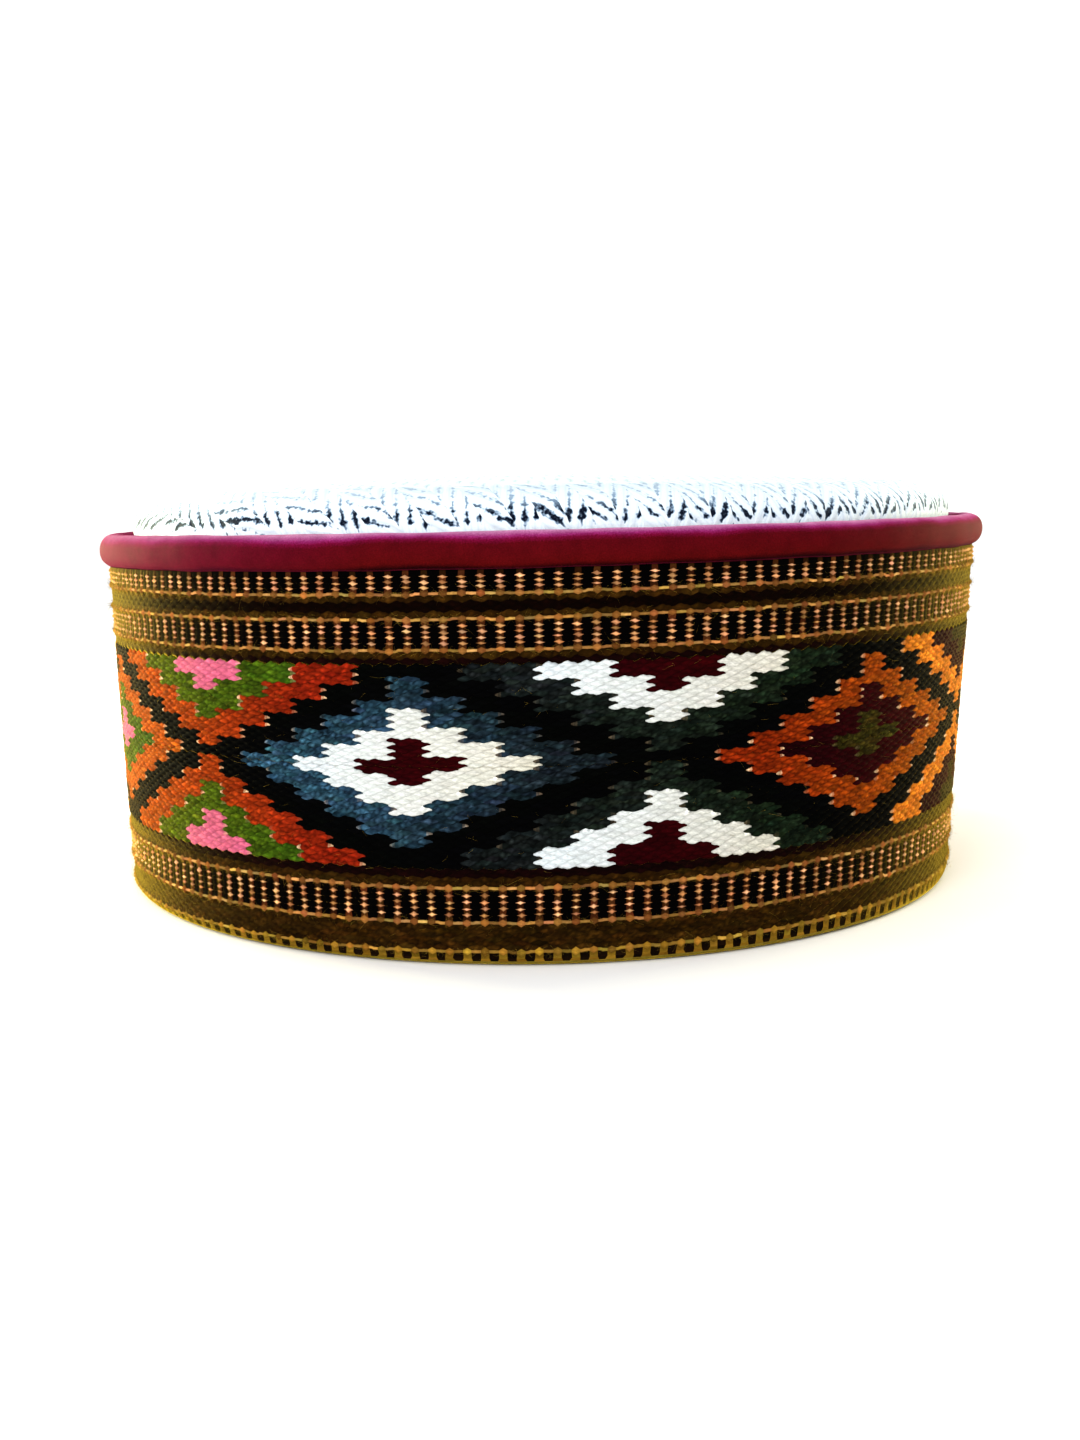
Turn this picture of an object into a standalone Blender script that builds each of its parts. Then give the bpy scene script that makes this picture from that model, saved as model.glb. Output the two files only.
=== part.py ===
"""Himachali cap: a stiff round wool cap with a woven patterned band.

Three sewn pieces: the tweed crown, the woven band that is turned under at the rim, and the
velvet piping rolled over the band's upper edge. Metres, +Z up, the forehead towards -Y, and
the origin on the surface that the cap rests on, under the middle of its outline.
"""
import math

import bmesh
import bpy
from mathutils import Vector

MM = 0.001
FACETS = 96
MERGE_DISTANCE = 0.001 * MM
SHARP_ANGLE = math.radians(35)

# The seat of the piping, where the band is widest
PIPING_HEIGHT = 73.0 * MM
PIPING_RADIUS = 3.3 * MM
PIPING_INSET = 1.1 * MM

# The outer face of the band: half the width from temple to temple, and its flare upwards
RIM_HALF_WIDTH = 91.4 * MM
TOP_HALF_WIDTH = 95.0 * MM
FLARE = (TOP_HALF_WIDTH - RIM_HALF_WIDTH) / PIPING_HEIGHT

# The plan is an oval, longer from forehead to nape. The soft cap leans to +X going up, and
# its band is a little taller on that side. TILT is the slope of the piping from side to side,
# and it dies out at the rim below and at the crown's top above
DEPTH_TO_WIDTH = 1.08
LEAN = 0.014
TILT = 0.012

# Cloth thicknesses, and the gap kept between one piece and the next
GAP = 0.3 * MM
BAND_WALL = 2.2 * MM
CROWN_WALL = 2.0 * MM
HEM_WALL = 1.4 * MM

# The fold of the band under the crown's foot, and the hem that rises inside
BAND_TOP = 71.0 * MM
FOLD_THICKNESS = 2.4 * MM
HEM_HEIGHT = 11.0 * MM
OUTER_ROUNDING = 1.5 * MM
INNER_ROUNDING = 1.0 * MM
FOLD_STEPS = 3

# The crown: its wall is pinched in behind the piping, bulges at the shoulder and meets the dome
WALL_TOP = 64.0 * MM
SHOULDER_HEIGHT = 77.0 * MM
SHOULDER_HALF_WIDTH = 89.8 * MM
SHOULDER_REACH = 9.5 * MM
SHOULDER_RISE = 7.0 * MM
SHOULDER_START = -12.0
SHOULDER_END = 82.0
SHOULDER_STEPS = 5
CROWN_HEIGHT = 87.0 * MM
DOME_STEPS = 3
PIPING_STEPS = 14

# The crown's wall stands behind the band, and the hem stands behind the crown's wall
CROWN_INSET = BAND_WALL + GAP
HEM_INSET = CROWN_INSET + CROWN_WALL + GAP


def clear_scene():
    """Remove every object that the opened file holds."""
    for item in list(bpy.data.objects):
        bpy.data.objects.remove(item, do_unlink=True)


def cloth(name, colour, roughness, sheen):
    """A cloth material with the colour, roughness and sheen of one piece."""
    material = bpy.data.materials.new(name)
    material.use_nodes = True
    shader = material.node_tree.nodes["Principled BSDF"]
    shader.inputs["Base Color"].default_value = (*colour, 1.0)
    shader.inputs["Roughness"].default_value = roughness
    shader.inputs["Metallic"].default_value = 0.0
    shader.inputs["Sheen Weight"].default_value = sheen
    return material


def wall_point(inset, height):
    """A section point that lies inset behind the band's outer face."""
    return RIM_HALF_WIDTH + FLARE * height - inset, height


def arc(centre, reach, rise, start, end, steps):
    """Section points on an oval arc, angles in degrees anticlockwise from outwards."""
    points = []
    for step in range(steps + 1):
        angle = math.radians(start + (end - start) * step / steps)
        points.append((centre[0] + reach * math.cos(angle), centre[1] + rise * math.sin(angle)))
    return points


def fitted(point):
    """Move a point of the round cap to its place on the oval, leaning, tilted one."""
    x = point.x + LEAN * (point.z - PIPING_HEIGHT)
    y = DEPTH_TO_WIDTH * point.y
    below = point.z / PIPING_HEIGHT
    above = (CROWN_HEIGHT - point.z) / (CROWN_HEIGHT - PIPING_HEIGHT)
    return Vector((x, y, point.z + TILT * x * min(below, above)))


def turned(name, section, closed, material):
    """Turn a section into a piece that goes all round the cap."""
    mesh = bmesh.new()
    points = [mesh.verts.new((half_width, 0.0, height)) for half_width, height in section]
    pairs = list(zip(points, points[1:]))
    if closed:
        pairs.append((points[-1], points[0]))
    edges = [mesh.edges.new(pair) for pair in pairs]
    bmesh.ops.spin(mesh, geom=points + edges, cent=Vector(), axis=Vector((0, 0, 1)),
                   angle=math.tau, steps=FACETS, use_merge=True)
    bmesh.ops.remove_doubles(mesh, verts=mesh.verts, dist=MERGE_DISTANCE)
    for vertex in mesh.verts:
        vertex.co = fitted(vertex.co)
    bmesh.ops.recalc_face_normals(mesh, faces=mesh.faces)
    data = bpy.data.meshes.new(name)
    mesh.to_mesh(data)
    mesh.free()
    data.materials.append(material)
    data.shade_smooth()
    data.set_sharp_from_angle(angle=SHARP_ANGLE)
    piece = bpy.data.objects.new(name, data)
    bpy.context.scene.collection.objects.link(piece)
    return piece


def crown_skin(depth):
    """One skin of the crown from its foot to its top, depth under the outer one."""
    foot = FOLD_THICKNESS + GAP
    wall = [wall_point(CROWN_INSET + depth, foot), wall_point(CROWN_INSET + depth, WALL_TOP)]
    centre = (SHOULDER_HALF_WIDTH - SHOULDER_REACH, SHOULDER_HEIGHT)
    shoulder = arc(centre, SHOULDER_REACH - depth, SHOULDER_RISE - depth,
                   SHOULDER_START, SHOULDER_END, SHOULDER_STEPS)
    edge_half_width, edge_height = shoulder[-1]
    dome_rise = CROWN_HEIGHT - depth - edge_height
    dome = []
    for step in range(1, DOME_STEPS + 1):
        share = 1.0 - step / DOME_STEPS
        dome.append((edge_half_width * share, edge_height + dome_rise * (1.0 - share ** 2)))
    return wall + shoulder + dome


def build_crown():
    """The hollow tweed crown, open below."""
    section = crown_skin(0.0)[::-1] + crown_skin(CROWN_WALL)
    material = cloth("tweed", (0.62, 0.66, 0.72), 0.9, 0.3)
    return turned("crown", section, False, material)


def fold_corner(centre_half_width, rounding, start):
    """A quarter turn of the fold, up from the surface that the cap rests on."""
    centre = (centre_half_width, rounding)
    return arc(centre, rounding, rounding, start, start + 90.0, FOLD_STEPS)


def build_woven_band():
    """The strip: its outer face, the flat fold at the rim and the hem inside."""
    hem_face = HEM_INSET + HEM_WALL
    section = fold_corner(RIM_HALF_WIDTH - OUTER_ROUNDING, OUTER_ROUNDING, -90.0)
    section += [wall_point(0.0, BAND_TOP), wall_point(BAND_WALL, BAND_TOP)]
    section += [wall_point(BAND_WALL, FOLD_THICKNESS), wall_point(HEM_INSET, FOLD_THICKNESS)]
    section += [wall_point(HEM_INSET, HEM_HEIGHT), wall_point(hem_face, HEM_HEIGHT)]
    inner_centre = RIM_HALF_WIDTH - hem_face + INNER_ROUNDING
    section += fold_corner(inner_centre, INNER_ROUNDING, -180.0)
    material = cloth("woven_wool", (0.16, 0.11, 0.05), 0.85, 0.4)
    return turned("woven_band", section, True, material)


def build_velvet_piping():
    """The velvet roll, notched below where the band's edge is sewn into it."""
    half_width, height = wall_point(PIPING_INSET, PIPING_HEIGHT)
    notch_top = BAND_TOP + GAP
    notch_side = wall_point(-GAP, BAND_TOP)[0]
    lip = math.degrees(math.acos((notch_side - half_width) / PIPING_RADIUS))
    heel = math.degrees(math.asin((height - notch_top) / PIPING_RADIUS))
    section = arc((half_width, height), PIPING_RADIUS, PIPING_RADIUS, -lip, 180.0 + heel,
                  PIPING_STEPS)
    section.append((notch_side, notch_top))
    material = cloth("velvet", (0.16, 0.012, 0.025), 0.75, 0.8)
    return turned("velvet_piping", section, True, material)


def main():
    """Build the cap."""
    clear_scene()
    build_crown()
    build_woven_band()
    build_velvet_piping()


main()
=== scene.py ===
"""Looks of the himachali cap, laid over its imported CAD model.

The band's outer face is woven in mesh: every float of the weft is a raised bead, placed and
coloured by the rules of the pattern. Metres, +Z up, the forehead towards -Y.
"""
import math
from collections import namedtuple

import bpy
import numpy as np
from mathutils import Matrix, Vector


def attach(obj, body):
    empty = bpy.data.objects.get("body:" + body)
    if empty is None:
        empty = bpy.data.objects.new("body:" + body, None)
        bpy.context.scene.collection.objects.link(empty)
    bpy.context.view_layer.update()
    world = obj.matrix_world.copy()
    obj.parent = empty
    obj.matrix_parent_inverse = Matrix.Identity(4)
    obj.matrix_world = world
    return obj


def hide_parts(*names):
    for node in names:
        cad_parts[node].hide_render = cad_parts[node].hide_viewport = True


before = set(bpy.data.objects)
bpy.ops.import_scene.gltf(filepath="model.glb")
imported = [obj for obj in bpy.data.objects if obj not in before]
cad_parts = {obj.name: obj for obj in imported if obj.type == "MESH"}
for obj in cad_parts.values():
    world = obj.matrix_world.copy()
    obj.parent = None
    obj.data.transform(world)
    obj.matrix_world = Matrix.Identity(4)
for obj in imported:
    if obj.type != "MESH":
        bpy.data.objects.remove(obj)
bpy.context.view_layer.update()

MM = 0.001
BODY = "root"
RNG = np.random.default_rng(7)

# The cap's driving sizes, as in its CAD model
PIPING_HEIGHT = 73.0 * MM
PIPING_RADIUS = 3.3 * MM
PIPING_INSET = 1.1 * MM
RIM_HALF_WIDTH = 91.4 * MM
TOP_HALF_WIDTH = 95.0 * MM
FLARE = (TOP_HALF_WIDTH - RIM_HALF_WIDTH) / PIPING_HEIGHT
DEPTH_TO_WIDTH = 1.08
LEAN = 0.014
TILT = 0.012
GAP = 0.3 * MM
BAND_WALL = 2.2 * MM
CROWN_WALL = 2.0 * MM
HEM_WALL = 1.4 * MM
BAND_TOP = 71.0 * MM
FOLD_THICKNESS = 2.4 * MM
HEM_HEIGHT = 11.0 * MM
OUTER_ROUNDING = 1.5 * MM
INNER_ROUNDING = 1.0 * MM
WALL_TOP = 64.0 * MM
SHOULDER_HEIGHT = 77.0 * MM
SHOULDER_HALF_WIDTH = 89.8 * MM
SHOULDER_REACH = 9.5 * MM
SHOULDER_RISE = 7.0 * MM
SHOULDER_ARC = (-12.0, 82.0)
CROWN_HEIGHT = 87.0 * MM
CROWN_INSET = BAND_WALL + GAP
HEM_INSET = CROWN_INSET + CROWN_WALL + GAP

# The weave: beads round the girth, and mesh columns in each bead's pitch. The seam is at the
# nape, so the middle of the forehead is half way round
BEADS = 188
PER_BEAD = 6
HALF_BEAD = PER_BEAD // 2
COLUMNS = BEADS * PER_BEAD
STEPS_ROUND = np.arange(COLUMNS)
FRONT_OFFSET = 0.05 * MM
RECESS = 0.15 * MM

# Heights on the strip. It is sewn on at a slight slope and turned under more on the left
STRIP_TILT = 0.0123
FULL_TILT_FROM = 3.0 * MM
EDGE_LINE = 2.75 * MM
LOWER_LADDER = (8.0 * MM, 14.3 * MM)
FIELD_BOTTOM = 17.7 * MM
FIELD_TOP = 53.8 * MM
MIDDLE_LADDER = (56.2 * MM, 61.6 * MM)
UPPER_LADDER = (65.9 * MM, 70.9 * MM)
CLEAR = 0.45 * MM
BEHIND_ROLL = 0.6 * MM

# The pattern: steps of four courses by two beads, thirteen of them from border to border, and
# one more course at the top
COURSES_PER_STEP = 4
BEADS_PER_STEP = 2
STEP_ROWS = 13
FIGURED = COURSES_PER_STEP * STEP_ROWS
COURSES = FIGURED + 1
MIDDLE_STEP = 6
PERIOD = 28
FIRST_FULL = 87
FIRST_HALF = FIRST_FULL + PERIOD // 2
RING_REACHES = (1.5, 3.5, 5.5)
DRIFT_WIDTH = 1.4 * RING_REACHES[-1] * BEADS_PER_STEP
LOOSER_MIDDLE, LOOSER_BELOW = 0.011, 0.0125

# Shapes of the beads. VALLEY values are for the line between two courses, and a straight line
# counts as FLAT_SHARE full
BEAD_RELIEF = 0.45 * MM
STRIPE_RELIEF = 0.22 * MM
VALLEY_RELIEF = 0.28
BEAD_FULLNESS = 0.7
BEAD_UNEVEN = 0.14
BEAD_WAVE = 0.60
BEAD_SKEW = 0.09
BEAD_SLANT = 0.22
FLAT_SHARE = 0.5

# Painted brightness of the beads: painted shade in the valleys between courses and towards the
# ends of the beads, and a painted highlight along their crests. Then the painted cream highlight
# at their tips: how many columns it shows on, how it fades inwards, and how it varies from one
# bead to the next
VALLEY_LIGHT = 0.66
BEAD_END_LIGHT, BEAD_LIGHT = 0.70, 0.36
DARKEST = 0.1
TONE_SHARE = 0.25
TIP_COLUMNS = 2
TIP_FADE = 0.45
TIP_SPREAD, TIP_RARITY, TIP_MOST = 1.55, 2.6, 0.9

# Yarns: the sRGB colours that they drift between from the left of a motif to its right, a
# drift that is painted light, each motif lit differently on its two sides (where no motif sets
# it, the drift is random); how unevenly the beads take their dye, how mottled they are, how
# much painted cream highlight shows where a float bends over at the end of its block, and how
# strong the painted shade at the edges of the beads is
Yarn = namedtuple("Yarn", "left right uneven mottle tip edges", defaults=(0.0, 1.0))
YARNS = {
    "black": Yarn((3, 3, 4), (3, 4, 3), 0.20, 0.10),
    "maroon": Yarn((34, 2, 8), (56, 3, 6), 0.12, 0.15),
    "white": Yarn((206, 214, 220), (206, 201, 186), 0.02, 0.03, 0.0, 0.62),
    "slate": Yarn((42, 68, 84), (26, 34, 39), 0.22, 0.55, 0.06),
    "forest": Yarn((22, 26, 26), (24, 34, 22), 0.22, 0.50, 0.03),
    "olive": Yarn((48, 40, 12), (52, 48, 12), 0.25, 0.40, 0.03),
    "orange": Yarn((128, 42, 9), (156, 82, 14), 0.16, 0.28, 0.50, 1.3),
    "amber": Yarn((200, 116, 34), (200, 116, 34), 0.16, 0.28, 0.45, 1.2),
    "vermilion": Yarn((158, 72, 16), (130, 36, 14), 0.16, 0.28, 0.45, 1.3),
    "tangerine": Yarn((160, 76, 20), (160, 76, 20), 0.16, 0.28, 0.50, 1.2),
    "green": Yarn((84, 92, 16), (54, 80, 16), 0.18, 0.30, 0.10, 1.2),
    "pink": Yarn((196, 106, 122), (198, 94, 128), 0.08, 0.10, 0.20, 0.8),
    "gold": Yarn((142, 92, 50), (118, 78, 38), 0.30, 0.20),
    "rung": Yarn((214, 160, 118), (160, 110, 68), 0.20, 0.20),
    "thread": Yarn((176, 134, 80), (158, 116, 62), 0.35, 0.15),
    "ground": Yarn((3, 1, 2), (3, 1, 2), 0.10, 0.10),
    "rung_gap": Yarn((92, 52, 26), (60, 34, 16), 0.30, 0.15),
    "umber": Yarn((52, 34, 8), (40, 24, 3), 0.20, 0.35),
    "dark_umber": Yarn((13, 3, 1), (13, 3, 1), 0.12, 0.25),
    "mulberry": Yarn((20, 4, 4), (20, 4, 4), 0.12, 0.25),
    "edge_gold": Yarn((138, 108, 36), (120, 90, 26), 0.15, 0.20),
    "rim_shadow": Yarn((30, 17, 7), (16, 8, 3), 0.20, 0.25),
    "edge_bead": Yarn((158, 118, 46), (128, 96, 34), 0.25, 0.20),
    "edge_thread": Yarn((168, 136, 62), (140, 104, 44), 0.30, 0.20),
    "edge": Yarn((122, 104, 40), (122, 104, 40), 0.10, 0.10),
}
TIP_HIGHLIGHT_CREAM = (242, 206, 164)

# The three groups of colours, for whole diamonds and then for halves: yarns from the middle
# of a motif outwards, and of the ground round it
COLOURWAYS = np.array((
    (("maroon", "white", "slate", "black"), ("maroon", "white", "forest", "black")),
    (("olive", "maroon", "orange", "black"), ("olive", "maroon", "amber", "black")),
    (("pink", "green", "tangerine", "black"), ("pink", "green", "vermilion", "black")),
))

# Soft bumps: how deep they are, the waves round the cap that are mixed, and a seed
Ripple = namedtuple("Ripple", "depth waves seed")
BAND_SWELL = Ripple(0.10 * MM, (9, 14, 23), 3)
CROWN_SAG = Ripple(0.35 * MM, (3, 5, 8), 11)
CROWN_PUCKERS = Ripple(0.16 * MM, (31, 47, 58, 71), 5)
ROLL_SWELL = Ripple(0.10 * MM, (17, 29, 43), 21)
RIPPLE_HEIGHT = 60 * MM

# The photo's camera: its place, its yaw, pitch and roll in degrees, and its lens
CAMERA_PLACE = Vector((1.34, -389.2, 81.09)) * MM
CAMERA_TURNS = ((0.312, "Z"), (90.0 - 7.342, "X"), (-0.857, "Z"))
CAMERA_LENS = 42.5


# ---- shape helpers

def linear(colour):
    """An sRGB colour of 0 to 255 as linear values."""
    value = np.asarray(colour, float) / 255.0
    return np.where(value <= 0.04045, value / 12.92, ((value + 0.055) / 1.055) ** 2.4)


def jitter(size, limit=2.0):
    """Random numbers about zero, kept within a limit."""
    return RNG.normal(size=size).clip(-limit, limit)


def oval_table(steps=4096):
    """Angles round the oval from the forehead, the share of the girth at each, and the girth."""
    angles = np.linspace(0.0, math.tau, steps + 1)
    x, y = np.sin(angles), -DEPTH_TO_WIDTH * np.cos(angles)
    lengths = np.concatenate([[0.0], np.cumsum(np.hypot(np.diff(x), np.diff(y)))])
    return angles, lengths / lengths[-1], lengths[-1]


OVAL_ANGLES, OVAL_SHARES, OVAL_GIRTH = oval_table()
GIRTH = OVAL_GIRTH * (RIM_HALF_WIDTH + FLARE * PIPING_HEIGHT / 2)
PITCH = GIRTH / BEADS


def angle_at(distance):
    """The angle round the cap at a distance along the strip from the middle of the forehead."""
    return np.interp((distance / GIRTH) % 1.0, OVAL_SHARES, OVAL_ANGLES)


def even_angles(columns):
    """Angles of columns that are evenly spaced along the girth, from the nape round."""
    return angle_at(np.arange(columns) / columns * GIRTH - GIRTH / 2)


def fitted(half_width, height, angle):
    """Points of the oval, leaning, tilted cap from their place on a round one."""
    half_width, height, angle = np.broadcast_arrays(half_width, height, angle)
    x = half_width * np.sin(angle) + LEAN * (height - PIPING_HEIGHT)
    y = -DEPTH_TO_WIDTH * half_width * np.cos(angle)
    below = height / PIPING_HEIGHT
    above = (CROWN_HEIGHT - height) / (CROWN_HEIGHT - PIPING_HEIGHT)
    z = height + TILT * x * np.minimum(below, above)
    return np.stack([x, y, z], axis=-1)


def wall_half_width(inset, height):
    """Half the cap's width at a depth behind the band's outer face."""
    return RIM_HALF_WIDTH + FLARE * height - inset


def arc(centre, reach, rise, start, end, steps):
    """Section points on an oval arc, angles in degrees anticlockwise from outwards."""
    angles = np.radians(np.linspace(start, end, steps + 1))
    return [(centre[0] + reach * math.cos(a), centre[1] + rise * math.sin(a)) for a in angles]


def rippled(ripple, angle, height):
    """Smooth soft bumps round the cap, as deep inwards as outwards."""
    own = np.random.default_rng(ripple.seed)
    total = 0.0
    for turns in ripple.waves:
        climb = own.uniform(-1.0, 1.0) * math.tau / RIPPLE_HEIGHT
        total = total + np.sin(turns * angle + climb * height + own.uniform(0.0, math.tau))
    return ripple.depth * (total / len(ripple.waves))


def ring_faces(lines, columns, closed):
    """Quads between neighbouring vertex lines that go all round."""
    last = lines if closed else lines - 1
    i, j = np.meshgrid(np.arange(last), np.arange(columns), indexing="ij")
    up, along = (i + 1) % lines, (j + 1) % columns
    corners = (i * columns + j, i * columns + along, up * columns + along, up * columns + j)
    return np.stack(corners, axis=-1).reshape(-1, 4)


def mesh_piece(name, material, points, quads, triangles=()):
    """A smooth-shaded object of one material, whose faces look outwards."""
    points = np.reshape(points, (-1, 3))
    mesh = bpy.data.meshes.new(name)
    mesh.from_pydata(points.tolist(), [], [*quads.tolist(), *triangles])
    mesh.validate()
    a, b, c, d = (points[quads[:, corner]] for corner in range(4))
    volume = np.sum(a * (np.cross(b, c) + np.cross(c, d)))
    if volume < 0:
        mesh.flip_normals()
    mesh.shade_smooth()
    mesh.materials.append(material)
    piece = bpy.data.objects.new(name, mesh)
    bpy.context.scene.collection.objects.link(piece)
    return piece


def corner_vertices(piece):
    """The vertex at each corner of a piece's faces."""
    corners = np.empty(len(piece.data.loops), np.int32)
    piece.data.loops.foreach_get("vertex_index", corners)
    return corners


def corner_places(piece, lines, columns):
    """The line and column of each corner, not wrapped round, and its face's first column."""
    corners = corner_vertices(piece)
    face_line, face_column = np.divmod(np.repeat(np.arange(lines * columns), 4), columns)
    line = face_line + (corners // columns - face_line) % lines
    column = face_column + (corners % columns - face_column) % columns
    return line, column, face_column


def write_map(piece, name, across, up):
    """Write a UV map from the two values of each corner."""
    values = np.stack([across, up], axis=-1).astype(np.float32)
    piece.data.uv_layers.new(name=name).data.foreach_set("uv", values.ravel())


# ---- the woven strip

# A line of vertices: their heights on the strip, their relief, how far they are pulled along
# the strip, and how bright they are painted: painted shade and painted highlight
Line = namedtuple("Line", "heights reliefs pulls shades")


class Strip:
    """The lines of the band's outer face from the rim up, and the colours above each."""

    def __init__(self):
        self.lines, self.colours = [], []
        self.fat_below = FLAT_SHARE

    def line(self, height, relief, pull=0.0, shade=1.0, colours=(0.0, 0.0, 0.0)):
        """Add a line of vertices."""
        values = (height, relief, pull, shade)
        self.lines.append(Line(*(np.broadcast_to(value, COLUMNS) for value in values)))
        self.colours.append(np.broadcast_to(colours, (COLUMNS, 3)))

    def paint(self, colours):
        """Set the colours of the faces above the newest line."""
        self.colours[-1] = colours


def yarn_traits(names):
    """The traits of the yarn of each bead, in one array for each trait."""
    return Yarn(*(np.array(values) for values in zip(*(YARNS[name] for name in names))))


def dyed_and_lit(names, drift=None):
    """Colours for a list of yarns, each bead a little lighter or darker than the next.

    drift says how far each bead is from its yarn's left colour to its right one. Across a
    motif that drift is painted light; given as None, it is a random dye variation.
    """
    if drift is None:
        drift = RNG.uniform(size=len(names))
    yarns = yarn_traits(names)
    left = linear(yarns.left)
    colours = left + (linear(yarns.right) - left) * drift[:, None]
    uneven = yarns.uneven[:, None]
    shade = np.exp(uneven * jitter((len(names), 1)))
    tone = 1.0 + TONE_SHARE * uneven * jitter((len(names), 3))
    return colours * shade * tone


class Course:
    """One course of beads. Even courses sit half a bead to the right of odd ones."""

    def __init__(self, number, names, drift):
        self.odd = number % 2
        self.turns_before = names != np.roll(names, 1)
        starts = np.arange(BEADS) * PER_BEAD - HALF_BEAD * self.odd + self.turns_before
        around = np.concatenate([[starts[-1] - COLUMNS], starts, starts[:2] + COLUMNS])
        place = np.searchsorted(around, STEPS_ROUND, side="right") - 1
        self.bead = (place - 1) % BEADS
        self.begun = STEPS_ROUND - around[place]
        self.length = around[place + 1] - around[place]
        self.share = self.begun / self.length
        self.fat = np.sin(math.pi * self.share) ** BEAD_FULLNESS
        self.traits = yarn_traits(names)
        self.colours = self.tipped(dyed_and_lit(names, drift)[self.bead])

    def tipped(self, plain):
        """Colours of the course's faces, creamy at the tips that stick out of their block.

        The cream there is a painted highlight.
        """
        rarity = RNG.uniform(0.0, TIP_SPREAD, size=(BEADS, 1)) ** TIP_RARITY
        cream = (self.traits.tip[:, None] * rarity).clip(0.0, TIP_MOST)
        if self.odd:
            from_tip, stands_out = self.begun, self.turns_before
        else:
            from_tip, stands_out = self.length - 1 - self.begun, np.roll(self.turns_before, -1)
        paler = cream[self.bead] * (TIP_FADE ** from_tip)[:, None]
        paler[~stands_out[self.bead] | (from_tip >= TIP_COLUMNS)] = 0.0
        return plain + paler * (linear(TIP_HIGHLIGHT_CREAM) - plain)

    def shade(self, plain):
        """A course line's painted shade and highlight, mottled and scaled by its yarns' edges.
        """
        mottle = np.exp(self.traits.mottle[self.bead] * jitter(COLUMNS))
        edges = self.traits.edges[self.bead]
        return (1.0 - (1.0 - plain) * edges).clip(DARKEST, None) * mottle


def weave_course(strip, bottom, top, number, names, relief, drift=None, joins_line=False):
    """Lay one course of beads. Where it joins a gold line, that line's edge is its lower one."""
    course = Course(number, names, drift)
    pitch = top - bottom
    if joins_line:
        strip.paint(course.colours)
    else:
        wave = 0.5 * BEAD_WAVE * (strip.fat_below - course.fat)
        skew = BEAD_SKEW * np.sin(2.0 * math.tau * course.share)
        strip.line(bottom + pitch * (wave - skew), VALLEY_RELIEF * relief, 0.0,
                   course.shade(VALLEY_LIGHT), course.colours)
    plump = (1.0 + BEAD_UNEVEN * jitter(BEADS))[course.bead]
    slant = BEAD_SLANT * pitch * np.sin(math.tau * course.share)
    strip.line((bottom + top) / 2 + slant, relief * course.fat * plump, 0.0,
               course.shade(BEAD_END_LIGHT + BEAD_LIGHT * course.fat), course.colours)
    strip.fat_below = course.fat


def stripe(strip, bottom, top, courses, yarns, first=0):
    """A plain stripe of soft dark wool, in yarns that are named from the bottom up.

    first is the number of its lowest course. A stripe that starts at 0 lies on a gold line.
    """
    heights = np.linspace(bottom, top, courses + 1)
    for number, (low, high) in enumerate(zip(heights, heights[1:])):
        names = np.full(BEADS, yarns[number * len(yarns) // courses])
        weave_course(strip, low, high, first + number, names, STRIPE_RELIEF,
                     joins_line=first + number == 0)


def at_rungs(values):
    """Spread six values, for the columns of one pitch from a rung on, round the strip."""
    return np.tile(values, BEADS)


def each_rung(values):
    """Spread one value for each rung over the columns that are nearest to it."""
    return np.roll(np.repeat(values, PER_BEAD, axis=0), -HALF_BEAD, axis=0)


def rung_jitter(amount, limit=2.0):
    """A random amount for each rung."""
    return each_rung(amount * jitter(BEADS, limit))


RUNG_PULL = 0.21 * MM
RUNG_SHAPE = at_rungs((1.0, 0.12, 0.03, 0.0, 0.03, 0.12))
THREAD_SHAPE = at_rungs((0.50, 0.28, 0.36, 0.44, 0.36, 0.28))
RUNG_PULLS = at_rungs((0.0, RUNG_PULL, RUNG_PULL / 3, 0.0, -RUNG_PULL / 3, -RUNG_PULL))
ON_RUNG = at_rungs((1, 0, 0, 0, 0, 1)).astype(bool)


def rung_colours(on, off):
    """Colours of a row of faces: one yarn on the rungs and another between them."""
    between = np.repeat(dyed_and_lit([off] * BEADS), PER_BEAD, axis=0)
    rungs = each_rung(dyed_and_lit([on] * BEADS))
    return np.where(ON_RUNG[:, None], rungs, between)


# A line of gold: how far it reaches up and down, how much its height and its beads vary, and
# the relief and the painted brightness of its middle (painted highlight) and of its edges
# (painted shade)
LINE_REACH = 0.62 * MM
LINE_WOBBLE = 0.08 * MM
LINE_UNEVEN = 0.20
LINE_RELIEF = 0.42 * MM + 0.30 * MM * RUNG_SHAPE
LINE_LIGHT = 0.55 + 1.1 * THREAD_SHAPE
LINE_EDGE_RELIEF = 0.18 * MM + 0.08 * MM * RUNG_SHAPE
LINE_EDGE_LIGHT = 0.68


def gold_line(strip, centre, reach=LINE_REACH, bead="gold", thread="thread"):
    """A line of gold: a fat bead over each rung, joined by pale thread."""
    middle = centre + rung_jitter(LINE_WOBBLE)
    plump = 1.0 + rung_jitter(LINE_UNEVEN)
    spread = reach * (THREAD_SHAPE + (1.0 - THREAD_SHAPE) * RUNG_SHAPE * plump)
    colours = rung_colours(bead, thread)
    edge = (LINE_EDGE_RELIEF, RUNG_PULLS, LINE_EDGE_LIGHT)
    strip.line(middle - spread, *edge, colours)
    strip.line(middle, LINE_RELIEF, RUNG_PULLS, LINE_LIGHT, colours)
    strip.line(middle + spread, *edge)
    strip.fat_below = FLAT_SHARE
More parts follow.
